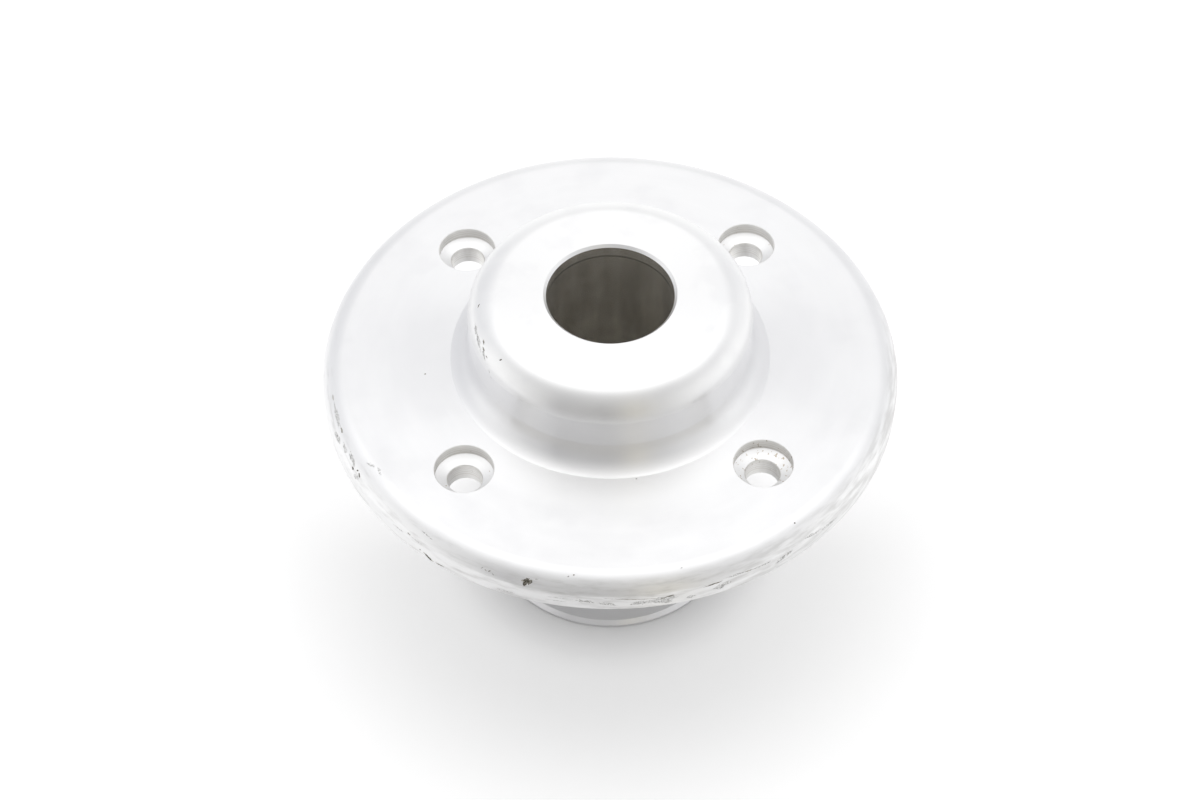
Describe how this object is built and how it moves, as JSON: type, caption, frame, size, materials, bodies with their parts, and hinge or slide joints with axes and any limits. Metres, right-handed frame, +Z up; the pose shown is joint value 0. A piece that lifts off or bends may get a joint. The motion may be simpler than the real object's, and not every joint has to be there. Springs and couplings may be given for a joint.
{
  "type": "flanged hub",
  "caption": "Turned aluminium hub: a round flange with a rounded boss and through bore above, a spigot below, and counterbored screw holes on one pitch circle.",
  "frame": {"origin": "centre of the foot's underside, on the turning axis", "axes": "+Z up along the turning axis, from the foot to the boss face; the screw holes lie on the X-Y diagonals"},
  "size_m": [0.11, 0.11, 0.073],
  "materials": {
    "turned_aluminium": "bare, fine turned lines, a little scuffed at the rim"
  },
  "bodies": {
    "root": {"flanged_hub": "turned_aluminium"}
  },
  "joints": []
}
